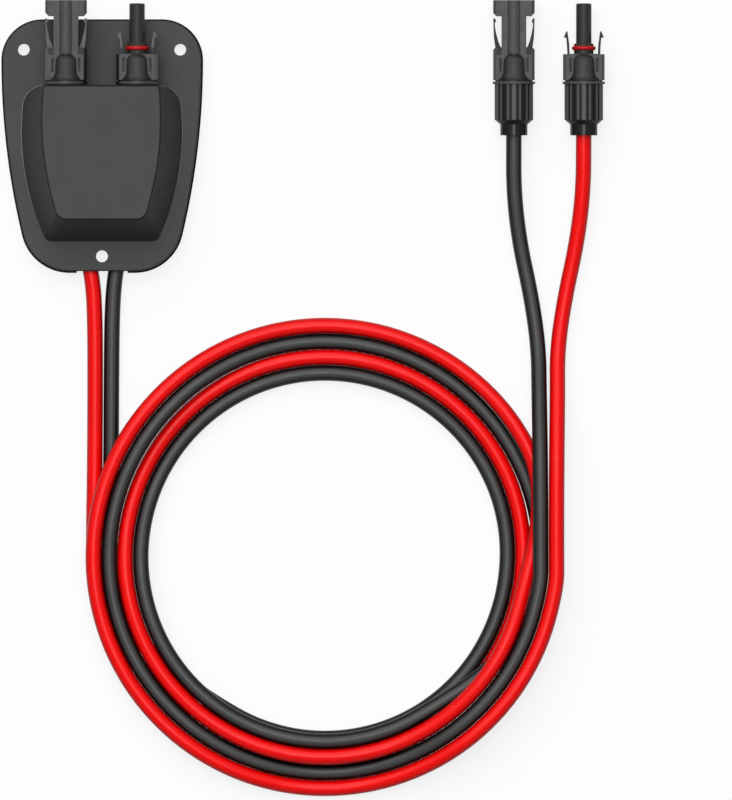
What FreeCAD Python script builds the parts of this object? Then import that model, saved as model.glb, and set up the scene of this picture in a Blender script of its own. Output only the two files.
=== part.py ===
"""Solar cable entry box with two built-in connectors and a pair of free leads.

A flanged box screws flat over the place where cables enter a roof or wall. Two single-pole solar
connectors sit in the upright end of its hood. From each a lead runs down inside the hood, out under
the lower edge of the flange, through a coil shared by both leads, and ends in a free connector.

Frame: +Z up, +Y the way all four connectors point, +X to the right, millimetres. The origin lies on
the mounting surface, under the middle of the box with its connectors.
"""

import FreeCAD, Part
import math
import os

import Sketcher

doc = FreeCAD.newDocument("solar_cable_entry_box")
sheet = doc.addObject("Spreadsheet::Sheet", "sizes")

DRIVING_SIZES = [
    # flange of the box
    ("flange_side_margin", 8.885),
    ("flange_head", 55.7),
    ("flange_foot_margin", 14.3),
    ("flange_depth", 9.0),
    ("flange_skin", 2.4),
    ("flange_side_radius", 359.2),
    ("flange_shoulder", 36.8),
    ("flange_head_corner", 18.9),
    ("flange_foot_corner", 22.7),
    ("flange_edge_round", 0.9),
    ("rim_width", 4.5),
    # hood, its outline on the flange and its smaller flat crown
    ("nut_headroom", 1.6),
    ("hood_end", 24.5),
    ("hood_side_run", 10.6),
    ("hood_foot", 50.1),
    ("hood_side_radius", 120.0),
    ("hood_side_peak", 2.5),
    ("hood_corner", 10.5),
    ("hood_foot_corner", 4.0),
    ("nut_side_room", 1.3),
    ("crown_foot", 39.5),
    ("crown_side_radius", 150.0),
    ("crown_side_peak", 8.2),
    ("crown_corner", 0.9),
    ("crown_foot_corner", 5.0),
    ("hood_wall", 2.6),
    ("hood_roof", 2.6),
    ("crown_round", 0.4),
    ("hood_seam_round", 0.4),
    ("cavity_corner", 0.9),
    # screw holes
    ("upper_screw_from_side", 10.1),
    ("upper_screw_from_head", 13.9),
    ("lower_screw_from_foot", 7.1),
    ("screw_hole_radius", 2.85),
    ("screw_boss_radius", 5.4),
    # slot under the lower edge, where the leads come out
    ("slot_half_width", 12.2),
    ("slot_corner", 2.5),
    # gasket under the flange
    ("gasket_thickness", 1.5),
    ("gasket_lip", 0.8),
    ("gasket_inner_lip", 0.5),
    ("gasket_hole_play", 0.4),
    # what all four connectors share
    ("port_spacing", 34.0),
    ("port_clearance", 0.3),
    ("collar_radius", 10.2),
    ("collar_thickness", 1.1),
    ("neckline_radius", 9.0),
    ("neckline_end", 1.9),
    ("root_overlap", 1.0),
    ("shell_half_width", 9.9),
    ("shell_half_height", 7.0),
    ("shell_bevel", 1.3),
    ("barrel_flare_radius", 9.4),
    ("barrel_flare", 3.0),
    ("barrel_waist_radius", 8.8),
    ("barrel_waist", 4.7),
    ("barrel_front_radius", 8.6),
    ("barrel_front", 11.7),
    ("barrel_end", 14.4),
    ("barrel_end_round", 1.0),
    ("recess_depth", 1.2),
    ("recess_width", 1.3),
    ("recess_offset", 6.4),
    ("recess_start", 5.7),
    ("recess_end", 12.4),
    ("pocket_depth", 1.4),
    ("pocket_width", 2.4),
    ("pocket_start", 13.9),
    # connector with the broad head and a bore
    ("mating_play", 0.25),
    ("ring_squeeze", 0.1),
    ("socket_shell_end", 17.4),
    ("head_start", 32.6),
    ("head_end", 40.1),
    ("head_chamfer", 1.5),
    ("neck_half_width", 5.9),
    ("ridge_half_width", 2.3),
    ("ridge_height", 0.7),
    ("ridge_groove", 0.7),
    ("arm_shoulder", 1.0),
    ("arm_thickness", 1.1),
    ("arm_bend", 22.5),
    ("arm_bend_lean", 0.3),
    ("arm_bend_thickness", 0.9),
    ("arm_tip_thickness", 0.7),
    ("arm_root_length", 1.0),
    ("arm_gap", 1.2),
    ("arm_half_height", 4.6),
    ("arm_hook", 0.7),
    ("arm_hook_length", 2.4),
    ("mouth_depth", 7.0),
    ("socket_bore_end", 14.6),
    ("latch_slot_inner", 6.35),
    ("latch_slot_outer", 8.95),
    ("latch_slot_half_height", 3.4),
    # connector with the tube and two latch fingers
    ("probe_shell_end", 14.2),
    ("probe_collar_radius", 4.7),
    ("probe_collar_end", 19.5),
    ("probe_radius", 3.7),
    ("probe_end", 38.6),
    ("probe_edge_bevel", 0.5),
    ("finger_root_inner", 6.7),
    ("finger_thickness", 1.1),
    ("finger_lean", 0.6),
    ("finger_bend_length", 3.0),
    ("finger_barb_start", 22.2),
    ("finger_barb", 1.0),
    ("finger_barb_flat", 0.6),
    ("finger_end", 25.2),
    ("finger_half_height", 2.7),
    ("ring_section_radius", 1.05),
    ("ring_place", 17.2),
    ("ring_play", 0.05),
    # metal contacts
    ("contact_play", 0.06),
    ("contact_seat_radius", 2.84),
    ("contact_tail", 0.4),
    ("contact_bevel", 0.4),
    ("pin_radius", 2.0),
    ("pin_shoulder", 0.8),
    ("pin_tip_taper", 1.0),
    ("pin_end", 31.6),
    ("pin_play", 0.05),
    ("socket_contact_end", 37.8),
    ("socket_contact_depth", 12.0),
    # connectors built into the box
    ("panel_gasket_thickness", 0.6),
    ("panel_gasket_radius", 9.7),
    ("stub_wall", 1.3),
    ("stub_beyond_nut", 2.4),
    ("stub_bore_end", -5.6),
    ("stub_play", 0.2),
    ("lock_nut_flats", 17.0),
    ("lock_nut_thickness", 5.0),
    ("lock_nut_ease", 0.7),
    ("boot_wall", 1.1),
    ("boot_length", 6.0),
    ("boot_lip", 1.4),
    ("boot_tail_round", 0.6),
    ("boot_front_gap", 0.2),
    # connectors on the free ends of the leads
    ("plug_spread", 33.5),
    ("red_plug_place", 231.0),
    ("plug_back", 25.3),
    ("sleeve_wall", 1.6),
    ("sleeve_bore_end", -1.2),
    ("seal_gap", 1.2),
    ("seal_wall", 1.7),
    ("seal_length", 7.0),
    ("claw_wall", 1.1),
    ("claw_length", 6.6),
    ("claw_grip", 2.6),
    ("claw_flange_thickness", 1.2),
    ("claw_flange_step", 0.3),
    ("claw_slit", 0.9),
    ("claw_slit_floor", 0.6),
    ("claw_play", 0.1),
    ("nut_wall", 1.55),
    ("nut_grip_length", 17.3),
    ("nut_cone_length", 2.2),
    ("nut_tail_wall", 2.5),
    ("nut_tail_length", 5.1),
    ("nut_tail_play", 0.3),
    ("nut_tail_bevel", 0.4),
    ("nut_thread_play", 0.15),
    ("nut_thread_runout", 0.6),
    ("rib_root", 0.4),
    ("grip_rib_height", 0.5),
    ("grip_rib_width", 1.9),
    ("grip_side_rib_height", 0.4),
    ("grip_side_rib_width", 1.2),
    ("grip_side_rib_angle", 18.0),
    ("tail_rib_width", 1.1),
    ("tail_rib_height", 0.35),
    # leads and their coil
    ("lead_radius", 3.7),
    ("lead_play", 0.1),
    ("red_lead_in", -3.5),
    ("black_lead_in", 4.8),
    ("black_lead_out", 209.7),
    ("red_lead_out", 218.3),
    ("coil_place_x", 106.9),
    ("coil_place_y", -201.5),
    ("coil_inner_radius", 85.0),
    ("coil_play", 0.4),
    ("coil_bevel", 2.1),
]

GRIP_RIB_GROUPS = 6
CLAW_SLITS = 8
STRANDS_ACROSS = 4
STRANDS_HIGH = 2

for row, (alias, value) in enumerate(DRIVING_SIZES, 1):
    sheet.set(f"A{row}", alias.replace("_", " "))
    sheet.set(f"B{row}", str(value))
    sheet.setAlias(f"B{row}", alias)
doc.recompute()


class Size:
    """A size as both a number and the sheet expression that gives it."""

    def __init__(self, number, text):
        self.number = number
        self.text = text

    @staticmethod
    def of(value):
        return value if isinstance(value, Size) else Size(float(value), repr(float(value)))

    def __add__(self, other):
        other = Size.of(other)
        return Size(self.number + other.number, f"({self.text} + {other.text})")

    def __sub__(self, other):
        other = Size.of(other)
        return Size(self.number - other.number, f"({self.text} - {other.text})")

    def __rsub__(self, other):
        return Size.of(other) - self

    def __mul__(self, other):
        other = Size.of(other)
        return Size(self.number * other.number, f"({self.text} * {other.text})")

    def __truediv__(self, other):
        other = Size.of(other)
        return Size(self.number / other.number, f"({self.text} / {other.text})")

    def __neg__(self):
        return Size(-self.number, f"(0 - {self.text})")

    __radd__ = __add__
    __rmul__ = __mul__


class Sheet:
    """The driving sizes by name."""

    def __getattr__(self, alias):
        return Size(float(sheet.get(alias)), f"{sheet.Name}.{alias}")


S = Sheet()
ZERO = Size(0.0, "0")


def polar(radius, angle):
    """The two sizes of a point at this radius and angle in degrees."""
    angle = Size.of(angle)
    turn = math.radians(angle.number)
    radius = Size.of(radius)
    return (
        Size(radius.number * math.cos(turn), f"({radius.text} * cos({angle.text} * 1deg))"),
        Size(radius.number * math.sin(turn), f"({radius.text} * sin({angle.text} * 1deg))"),
    )


def vector(x, y, z=0.0):
    return FreeCAD.Vector(Size.of(x).number, Size.of(y).number, Size.of(z).number)


def bind(thing, prop, size):
    thing.setExpression(prop, Size.of(size).text)


# Sketches

def new_body(name):
    body = doc.addObject("PartDesign::Body", name)
    body.Label = name
    return body


def origin_feature(body, role):
    return next(f for f in body.Origin.OriginFeatures if f.Role == role)


def sketch_on(body, name, role="XY_Plane", lift=ZERO):
    """A sketch on one of the body's own origin planes, lifted along the plane's normal."""
    sketch = body.newObject("Sketcher::SketchObject", f"{body.Name}_{name}")
    sketch.AttachmentSupport = [(origin_feature(body, role), "")]
    sketch.MapMode = "FlatFace"
    bind(sketch, "AttachmentOffset.Base.z", lift)
    return sketch


def constrain(sketch, kind, *where, size=None):
    if size is None:
        return sketch.addConstraint(Sketcher.Constraint(kind, *where))
    index = sketch.addConstraint(Sketcher.Constraint(kind, *where, size.number))
    bind(sketch, f"Constraints[{index}]", size)
    return index


def hold_point(sketch, edge, end, x, y):
    constrain(sketch, "DistanceX", -1, 1, edge, end, size=Size.of(x))
    constrain(sketch, "DistanceY", -1, 1, edge, end, size=Size.of(y))


def draw_polygon(sketch, corners):
    first = sketch.GeometryCount
    count = len(corners)
    for i in range(count):
        start, end = vector(*corners[i]), vector(*corners[(i + 1) % count])
        sketch.addGeometry(Part.LineSegment(start, end), False)
    for i, (x, y) in enumerate(corners):
        constrain(sketch, "Coincident", first + (i - 1) % count, 2, first + i, 1)
        hold_point(sketch, first + i, 1, x, y)


def draw_box(sketch, x_low, x_high, y_low, y_high):
    draw_polygon(sketch, [(x_low, y_low), (x_high, y_low), (x_high, y_high), (x_low, y_high)])


def draw_circle(sketch, x, y, radius):
    radius = Size.of(radius)
    circle = Part.Circle(vector(x, y), FreeCAD.Vector(0, 0, 1), radius.number)
    index = sketch.addGeometry(circle, False)
    constrain(sketch, "Radius", index, size=radius)
    hold_point(sketch, index, 3, x, y)


class Outline:
    """A symmetric rounded outline: straight head and foot, bowed sides, four round corners."""

    def __init__(self, head, foot, half_width, side_radius, side_peak, head_corner, foot_corner):
        self.head = head
        self.foot = foot
        self.half_width = half_width
        self.side_radius = side_radius
        self.side_peak = side_peak
        self.head_corner = head_corner
        self.foot_corner = foot_corner

    def inset(self, step, head_corner=None):
        """The same outline moved inwards, with its sharp corners at a radius of their own."""
        return Outline(
            self.head - step,
            self.foot - step,
            self.half_width - step,
            self.side_radius - step,
            self.side_peak,
            head_corner or self.head_corner - step,
            self.foot_corner - step,
        )

    def corner_centre(self, corner, height):
        """Where a corner arc of this radius touches both the side and a straight end."""
        side_centre = self.half_width.number - self.side_radius.number
        reach = self.side_radius.number - corner.number
        rise = height - self.side_peak.number
        return side_centre + math.sqrt(reach**2 - rise**2), height

    def draw(self, sketch):
        side_x = self.half_width.number - self.side_radius.number
        side_y = self.side_peak.number
        up = self.corner_centre(self.head_corner, self.head.number - self.head_corner.number)
        low = self.corner_centre(self.foot_corner, self.foot_corner.number - self.foot.number)
        up_angle = math.atan2(up[1] - side_y, up[0] - side_x)
        low_angle = math.atan2(low[1] - side_y, low[0] - side_x)
        head, foot = self.head.number, -self.foot.number
        arcs = [
            (up[0], up[1], self.head_corner, up_angle, math.pi / 2),
            (side_x, side_y, self.side_radius, low_angle, up_angle),
            (low[0], low[1], self.foot_corner, -math.pi / 2, low_angle),
            (-low[0], low[1], self.foot_corner, math.pi - low_angle, 3 * math.pi / 2),
            (-side_x, side_y, self.side_radius, math.pi - up_angle, math.pi - low_angle),
            (-up[0], up[1], self.head_corner, math.pi / 2, math.pi - up_angle),
        ]
        line = sketch.addGeometry(Part.LineSegment(vector(-up[0], head), vector(up[0], head)), False)
        made = []
        for x, y, radius, start, end in arcs:
            circle = Part.Circle(vector(x, y), FreeCAD.Vector(0, 0, 1), radius.number)
            made.append(sketch.addGeometry(Part.ArcOfCircle(circle, start, end), False))
            constrain(sketch, "Radius", made[-1], size=radius)
        base = sketch.addGeometry(Part.LineSegment(vector(low[0], foot), vector(-low[0], foot)), False)
        right_up, right, right_low, left_low, left, left_up = made
        constrain(sketch, "Horizontal", line)
        constrain(sketch, "Horizontal", base)
        constrain(sketch, "DistanceY", -1, 1, line, 1, size=self.head)
        constrain(sketch, "DistanceY", -1, 1, base, 1, size=-self.foot)
        hold_point(sketch, right, 3, self.half_width - self.side_radius, self.side_peak)
        hold_point(sketch, left, 3, self.side_radius - self.half_width, self.side_peak)
        for one, end, other, start in (
            (line, 2, right_up, 2),
            (right_up, 1, right, 2),
            (right, 1, right_low, 2),
            (right_low, 1, base, 1),
            (base, 2, left_low, 2),
            (left_low, 1, left, 2),
            (left, 1, left_up, 2),
            (left_up, 1, line, 1),
        ):
            constrain(sketch, "Tangent", one, end, other, start)


# Features

def pad(body, sketch, length, both_ways=False, backwards=False):
    feature = body.newObject("PartDesign::Pad", f"{sketch.Name}_pad")
    feature.Profile = sketch
    bind(feature, "Length", length)
    feature.SideType = "Symmetric" if both_ways else "One side"
    feature.Reversed = backwards
    sketch.Visibility = False
    return feature


def volume_of(body):
    doc.recompute()
    return body.Shape.Volume


def pocket(body, sketch, length, both_ways=False, backwards=False):
    """Cuts the sketch away, against the sketch's normal unless backwards."""
    before = volume_of(body)
    feature = body.newObject("PartDesign::Pocket", f"{sketch.Name}_pocket")
    feature.Profile = sketch
    bind(feature, "Length", length)
    feature.SideType = "Symmetric" if both_ways else "One side"
    feature.Reversed = backwards
    if volume_of(body) > before - 1e-6:
        raise RuntimeError(f"{feature.Name} cuts nothing")
    return feature


def revolve(body, sketch, groove=False):
    """Turns a profile of radius and height about the body's own Z axis."""
    kind = "Groove" if groove else "Revolution"
    before = volume_of(body) if groove else 0.0
    feature = body.newObject(f"PartDesign::{kind}", f"{sketch.Name}_turned")
    feature.Profile = sketch
    feature.ReferenceAxis = (origin_feature(body, "Z_Axis"), [""])
    feature.Angle = 360
    if groove and volume_of(body) > before - 1e-6:
        raise RuntimeError(f"{feature.Name} cuts nothing")
    return feature


def loft(body, lower, upper, cut=False):
    kind = "SubtractiveLoft" if cut else "AdditiveLoft"
    feature = body.newObject(f"PartDesign::{kind}", f"{upper.Name}_loft")
    feature.Profile = lower
    feature.Sections = [upper]
    feature.Ruled = True
    return feature


def around(body, feature, count):
    pattern = body.newObject("PartDesign::PolarPattern", f"{feature.Name}_around")
    pattern.Originals = [feature]
    pattern.Axis = (origin_feature(body, "Z_Axis"), [""])
    pattern.Angle = 360
    pattern.Occurrences = count
    body.Tip = pattern
    return pattern


def edges_where(shape, wanted):
    return [f"Edge{i}" for i, edge in enumerate(shape.Edges, 1) if wanted(edge)]


def ends_of(edge):
    return [vertex.Point for vertex in edge.Vertexes]


def round_edges(body, size, wanted, kind="Fillet"):
    """Rounds or bevels the edges of the body that the test picks."""
    doc.recompute()
    base = body.Tip
    names = edges_where(base.Shape, wanted)
    if not names:
        raise RuntimeError(f"{body.Name} has no such edge")
    feature = body.newObject(f"PartDesign::{kind}", f"{body.Name}_{kind.lower()}_{len(body.Group)}")
    feature.Base = (base, names)
    bind(feature, "Radius" if kind == "Fillet" else "Size", size)
    return feature


def upright_at(half_width, half_height):
    """A test for edges along the body's Z at these distances either side of its axis."""

    def wanted(edge):
        ends = ends_of(edge)
        if len(ends) != 2 or abs(ends[0].z - ends[1].z) < 1.0:
            return False
        return all(
            abs(abs(p.x) - half_width.number) < 1e-3 and abs(abs(p.y) - half_height.number) < 1e-3
            for p in ends
        )

    return wanted


def lies_at(height):
    """A test for edges whose ends both lie at this height."""
    return lambda edge: all(abs(p.z - height.number) < 1e-3 for p in ends_of(edge))


def hood_seam(edge):
    """True for the edges where the hood's slopes, but not its upright end, meet the flange."""
    if not lies_at(FLANGE_TOP)(edge):
        return False
    return all(
        abs(p.x) < HOOD.half_width.number + 0.1 and p.y < S.hood_end.number + 0.1
        for p in ends_of(edge)
    )


# The box

SEAT = S.gasket_thickness
SKIN_BOTTOM = SEAT + S.flange_depth - S.flange_skin
FLANGE_TOP = SEAT + S.flange_depth
PORT_HEIGHT = FLANGE_TOP + S.port_clearance + S.collar_radius
LOCK_NUT_CORNER = S.lock_nut_flats / (2 * math.cos(math.radians(30)))
CROWN_HALF_WIDTH = S.port_spacing / 2 + LOCK_NUT_CORNER + S.nut_side_room
CROWN = PORT_HEIGHT + LOCK_NUT_CORNER + S.nut_headroom + S.hood_roof
LEAD_PASSAGE = S.lead_radius + S.lead_play
BOOT_RADIUS = LEAD_PASSAGE + S.boot_wall
STUB_BORE = BOOT_RADIUS + S.lead_play
STUB_RADIUS = STUB_BORE + S.stub_wall

HOOD_HALF_WIDTH = CROWN_HALF_WIDTH + S.hood_side_run
FLANGE_HALF_WIDTH = HOOD_HALF_WIDTH + S.flange_side_margin
FLANGE_FOOT = S.hood_foot + S.flange_foot_margin

FLANGE = Outline(
    S.flange_head,
    FLANGE_FOOT,
    FLANGE_HALF_WIDTH,
    S.flange_side_radius,
    S.flange_shoulder,
    S.flange_head_corner,
    S.flange_foot_corner,
)
HOOD = Outline(
    S.hood_end,
    S.hood_foot,
    HOOD_HALF_WIDTH,
    S.hood_side_radius,
    S.hood_side_peak,
    S.hood_corner,
    S.hood_foot_corner,
)
HOOD_CROWN = Outline(
    S.hood_end,
    S.crown_foot,
    CROWN_HALF_WIDTH,
    S.crown_side_radius,
    S.crown_side_peak,
    S.crown_corner,
    S.crown_foot_corner,
)


def outline_sketch(body, name, outline, height):
    sketch = sketch_on(body, name, "XY_Plane", height)
    outline.draw(sketch)
    return sketch


def upper_screw_centres():
    x = FLANGE_HALF_WIDTH - S.upper_screw_from_side
    y = S.flange_head - S.upper_screw_from_head
    return [(-x, y), (x, y)]


def make_box_shell():
    """Flange with a skin and rim, hollow hood, screw bosses, port holes and the lead slot."""
    body = new_body("box_shell")
    pad(body, outline_sketch(body, "flange", FLANGE, SEAT), S.flange_depth)
    round_edges(
        body,
        S.flange_edge_round,
        lies_at(FLANGE_TOP),
    )
    lower = outline_sketch(body, "hood", HOOD, FLANGE_TOP)
    upper = outline_sketch(body, "crown", HOOD_CROWN, CROWN)
    loft(body, lower, upper)
    round_edges(body, S.crown_round, lies_at(CROWN))
    round_edges(body, S.hood_seam_round, hood_seam)

    recess = outline_sketch(body, "recess", FLANGE.inset(S.rim_width), SEAT)
    pocket(body, recess, SKIN_BOTTOM - SEAT, backwards=True)
    inner = outline_sketch(body, "cavity", HOOD.inset(S.hood_wall), SKIN_BOTTOM)
    crown = HOOD_CROWN.inset(S.hood_wall, S.cavity_corner)
    inner_top = outline_sketch(body, "cavity_top", crown, CROWN - S.hood_roof)
    loft(body, inner, inner_top, cut=True)

    bosses = sketch_on(body, "bosses", "XY_Plane", SEAT)
    for x, y in upper_screw_centres():
        draw_circle(bosses, x, y, S.screw_boss_radius)
    pad(body, bosses, SKIN_BOTTOM - SEAT)

    holes = sketch_on(body, "screw_holes", "XY_Plane", FLANGE_TOP)
    for x, y in upper_screw_centres():
        draw_circle(holes, x, y, S.screw_hole_radius)
    draw_circle(holes, ZERO, S.lower_screw_from_foot - FLANGE_FOOT, S.screw_hole_radius)
    pocket(body, holes, S.flange_depth)

    ports = sketch_on(body, "port_holes", "XZ_Plane", -S.hood_end)
    for side in (-1, 1):
        draw_circle(ports, S.port_spacing / 2 * side, PORT_HEIGHT, STUB_RADIUS + S.stub_play)
    pocket(body, ports, S.hood_wall, backwards=True)

    slot = sketch_on(body, "lead_slot", "XZ_Plane", FLANGE_FOOT - S.rim_width)
    half, top = S.slot_half_width, SKIN_BOTTOM
    draw_polygon(slot, [
        (-half, SEAT),
        (half, SEAT),
        (half, top - S.slot_corner),
        (half - S.slot_corner, top),
        (S.slot_corner - half, top),
        (-half, top - S.slot_corner),
    ])
    pocket(body, slot, S.rim_width, backwards=True)
    return body


def make_base_gasket():
    """Foam ring under the rim, with an ear round each upper screw and a gap for the leads."""
    body = new_body("base_gasket")
    ring = sketch_on(body, "ring")
    FLANGE.inset(-S.gasket_lip).draw(ring)
    FLANGE.inset(S.rim_width + S.gasket_inner_lip).draw(ring)
    pad(body, ring, S.gasket_thickness)
    ears = sketch_on(body, "ears")
    for x, y in upper_screw_centres():
        draw_circle(ears, x, y, S.screw_boss_radius + S.gasket_inner_lip)
    pad(body, ears, S.gasket_thickness)
    gaps = sketch_on(body, "gaps", "XY_Plane", S.gasket_thickness)
    for x, y in upper_screw_centres():
        draw_circle(gaps, x, y, S.screw_hole_radius + S.gasket_hole_play)
    draw_box(
        gaps,
        -S.slot_half_width,
        S.slot_half_width,
        -FLANGE_FOOT - S.rim_width,
        S.rim_width * 2 - FLANGE_FOOT,
    )
    pocket(body, gaps, S.gasket_thickness)
    return body


# Connector shells, each along its own Z, with zero at the back of its collar

RING_RADIUS = S.probe_collar_radius
SOCKET_BORE = S.probe_radius + S.mating_play
MOUTH_RADIUS = RING_RADIUS + S.ring_section_radius - S.ring_squeeze
CONTACT_BORE = S.contact_seat_radius + S.contact_play
STUB_LENGTH = S.panel_gasket_thickness + S.hood_wall + S.lock_nut_thickness + S.stub_beyond_nut
SEAL_RADIUS = LEAD_PASSAGE + S.seal_wall
SLEEVE_BORE = SEAL_RADIUS + S.lead_play
SLEEVE_RADIUS = SLEEVE_BORE + S.sleeve_wall
SEAL_FRONT = S.sleeve_bore_end - S.seal_gap
SEAL_BACK = SEAL_FRONT - S.seal_length
SLEEVE_BACK = SEAL_BACK - S.claw_grip

def draw_barrel(sketch, back):
    """Half section of the collar, the neckline, the barrel and whatever stands behind the collar."""
    draw_polygon(sketch, [
        *back,
        (S.collar_radius, ZERO),
        (S.collar_radius, S.collar_thickness),
        (S.neckline_radius, S.collar_thickness),
        (S.neckline_radius, S.neckline_end),
        (S.collar_radius, S.neckline_end),
        (S.barrel_flare_radius, S.barrel_flare),
        (S.barrel_waist_radius, S.barrel_waist),
        (S.barrel_front_radius, S.barrel_front),
        (S.shell_half_height + S.barrel_end_round, S.barrel_end - S.barrel_end_round),
        (S.shell_half_height, S.barrel_end),
        (ZERO, S.barrel_end),
    ])


def port_back():
    """The threaded stub that passes through the hood's wall."""
    return [(ZERO, -STUB_LENGTH), (STUB_RADIUS, -STUB_LENGTH), (STUB_RADIUS, ZERO)]


def plug_back():
    """The threaded sleeve that the gland nut screws on."""
    return [(ZERO, SLEEVE_BACK), (SLEEVE_RADIUS, SLEEVE_BACK), (SLEEVE_RADIUS, ZERO)]


def side_view(body, name):
    """A sketch of the connector seen from above: x across it, y along its axis."""
    return sketch_on(body, name, "XZ_Plane")


def mirrored(points):
    return [(-x, y) for x, y in reversed(points)]


def cut_recesses(body):
    """Two shallow slots each side of the barrel, in the upper and the lower face."""
    for sign, name in ((1, "upper"), (-1, "lower")):
        face = sketch_on(body, f"{name}_recesses", "XZ_Plane", S.shell_half_height * sign)
        for low in (S.recess_offset - S.recess_width / 2, -S.recess_offset - S.recess_width / 2):
            draw_box(face, low, low + S.recess_width, S.recess_start, S.recess_end)
        pocket(body, face, S.recess_depth, backwards=sign < 0)


def cut_window_pockets(body):
    """A hollow below each latch window, open to the window, in the upper and the lower face."""
    for sign, name in ((1, "upper"), (-1, "lower")):
        face = sketch_on(body, f"{name}_pockets", "XZ_Plane", S.shell_half_height * sign)
        inner, outer = S.neck_half_width, S.neck_half_width + S.pocket_width
        draw_box(face, inner, outer, S.pocket_start, S.socket_shell_end)
        draw_box(face, -outer, -inner, S.pocket_start, S.socket_shell_end)
        pocket(body, face, S.pocket_depth, backwards=sign < 0)


def cut_bore(body, name, radius, front, back):
    sketch = sketch_on(body, name, "XY_Plane", front)
    draw_circle(sketch, ZERO, ZERO, radius)
    pocket(body, sketch, front - back)


def bore_contact_and_back(body, free, front):
    """The passage for the contact, and the wider one behind it for the lead and its seal."""
    if free:
        back_end, wide_end, wide = SLEEVE_BACK, S.sleeve_bore_end, SLEEVE_BORE
    else:
        back_end, wide_end, wide = -STUB_LENGTH, S.stub_bore_end, STUB_BORE
    cut_bore(body, "contact_bore", CONTACT_BORE, front, wide_end)
    cut_bore(body, "back_bore", wide, wide_end, back_end)


def make_socket_shell(name, free):
    """Connector shell with a neck, a broad head with latch slots, and two thin side arms."""
    body = new_body(name)
    section = side_view(body, "barrel")
    draw_barrel(section, plug_back() if free else port_back())
    revolve(body, section)

    wide, neck = S.shell_half_width, S.neck_half_width
    right = [
        (wide, S.neckline_end),
        (wide, S.socket_shell_end - S.arm_shoulder),
        (wide - S.arm_shoulder, S.socket_shell_end),
        (neck, S.socket_shell_end),
        (neck, S.head_start),
        (wide - S.head_chamfer, S.head_start),
        (wide, S.head_start + S.head_chamfer),
        (wide, S.head_end),
    ]
    plan = side_view(body, "plan")
    draw_polygon(plan, right + mirrored(right))
    pad(body, plan, S.shell_half_height * 2, both_ways=True)
    round_edges(body, S.shell_bevel, upright_at(wide, S.shell_half_height), "Chamfer")

    arms = side_view(body, "arms")
    root_outer = wide - S.arm_shoulder
    root_inner = root_outer - S.arm_thickness
    bend_outer = wide - S.arm_bend_lean
    tip_inner = wide - S.arm_tip_thickness
    arm_root = S.socket_shell_end - S.root_overlap
    arm_end = S.head_start - S.arm_gap
    arm = [
        (root_outer, arm_root),
        (root_outer, S.socket_shell_end),
        (bend_outer, S.arm_bend),
        (wide, arm_end),
        (tip_inner, arm_end),
        (tip_inner - S.arm_hook, arm_end - S.arm_hook_length / 2),
        (tip_inner, arm_end - S.arm_hook_length),
        (bend_outer - S.arm_bend_thickness, S.arm_bend),
        (root_inner, S.socket_shell_end + S.arm_root_length),
        (root_inner, arm_root),
    ]
    draw_polygon(arms, arm)
    draw_polygon(arms, mirrored(arm))
    pad(body, arms, S.arm_half_height * 2, both_ways=True)

    ridge_start = S.barrel_end - S.barrel_end_round
    ridge = sketch_on(body, "ridge", "XY_Plane", ridge_start)
    half, rise = S.ridge_half_width, S.ridge_height
    bulge = (half * half + rise * rise) / (rise * 2)
    for sign in (1, -1):
        draw_circle(ridge, ZERO, (S.shell_half_height + rise - bulge) * sign, bulge)
    pad(body, ridge, S.head_end - ridge_start)
    for sign, label in ((1, "upper"), (-1, "lower")):
        grooves = sketch_on(body, f"{label}_grooves", "XZ_Plane", S.shell_half_height * sign)
        for low in (half, -half - S.ridge_groove):
            draw_box(grooves, low, low + S.ridge_groove, ridge_start, S.head_end)
        pocket(body, grooves, S.ridge_groove, backwards=sign < 0)

    cut_recesses(body)
    cut_window_pockets(body)
    mouth_floor = S.head_end - S.mouth_depth
    cut_bore(body, "mouth", MOUTH_RADIUS, S.head_end, mouth_floor)
    cut_bore(body, "bore", SOCKET_BORE, mouth_floor, S.socket_bore_end)
    bore_contact_and_back(body, free, S.socket_bore_end)
    slots = sketch_on(body, "latch_slots", "XY_Plane", S.head_end)
    tall = S.latch_slot_half_height
    draw_box(slots, S.latch_slot_inner, S.latch_slot_outer, -tall, tall)
    draw_box(slots, -S.latch_slot_outer, -S.latch_slot_inner, -tall, tall)
    pocket(body, slots, S.head_end - S.head_start)
    return body


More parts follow.
